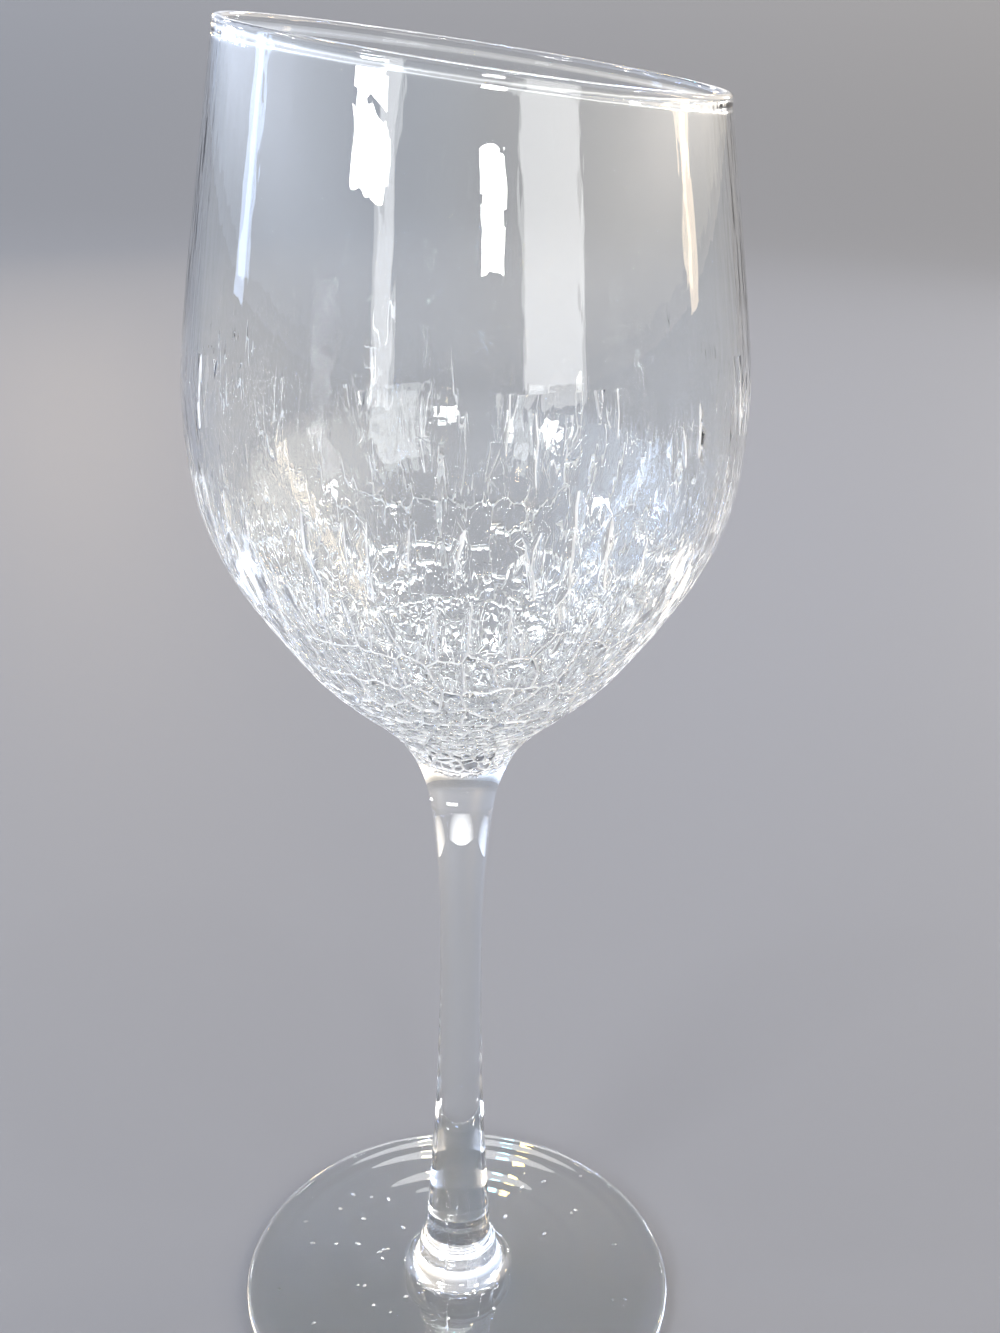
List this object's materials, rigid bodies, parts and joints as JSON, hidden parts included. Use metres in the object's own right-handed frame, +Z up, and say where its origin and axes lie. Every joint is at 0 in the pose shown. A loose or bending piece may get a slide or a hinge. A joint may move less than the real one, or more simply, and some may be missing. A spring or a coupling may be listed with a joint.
{
  "type": "wine glass",
  "caption": "Stemmed crackle glass with a deep tulip bowl, a slanted fire-polished rim, a drawn stem and a round dished foot.",
  "frame": {"origin": "centre of the foot's rest ring, on the surface the glass stands on", "axes": "+Z up along the stem; the slanted rim is highest on the -X side and lowest on the +X side"},
  "size_m": [0.0903, 0.0902, 0.2417],
  "materials": {
    "clear_glass": "polished"
  },
  "bodies": {
    "root": {"wine_glass": "clear_glass"}
  },
  "joints": []
}
